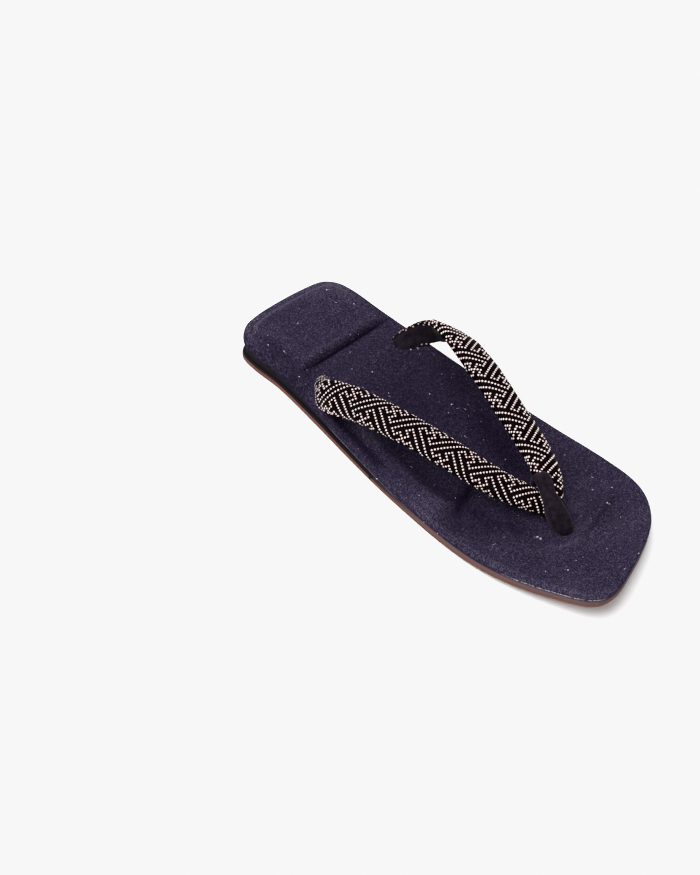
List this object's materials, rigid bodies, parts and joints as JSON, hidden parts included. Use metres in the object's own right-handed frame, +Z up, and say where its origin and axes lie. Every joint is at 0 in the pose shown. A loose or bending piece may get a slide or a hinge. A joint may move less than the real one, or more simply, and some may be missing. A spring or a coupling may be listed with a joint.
{
  "type": "setta sandal",
  "caption": "Flat thonged sandal with a padded cloth footbed on a thin sole, a wedge under the heel, and a stuffed forked strap whose front thong goes between the toes.",
  "frame": {"origin": "middle of the box in plan, on the floor under the flat of the sole", "axes": "+Y to the toe, +X to the medial (big toe) side, +Z up"},
  "size_m": [0.1036, 0.2646, 0.038],
  "materials": {
    "sole": "matte brown with a smooth rounded edge",
    "wedge": "matte black",
    "footbed_cloth": "dark indigo slubbed plain weave",
    "strap_skin": "soft black skin with raised pale lacquer dots, suede lining",
    "thong_velvet": "black velvet"
  },
  "bodies": {
    "root": {"outsole": "sole", "heel_wedge": "wedge", "footbed": "footbed_cloth", "straps": "strap_skin", "front_thong": "thong_velvet"}
  },
  "joints": []
}
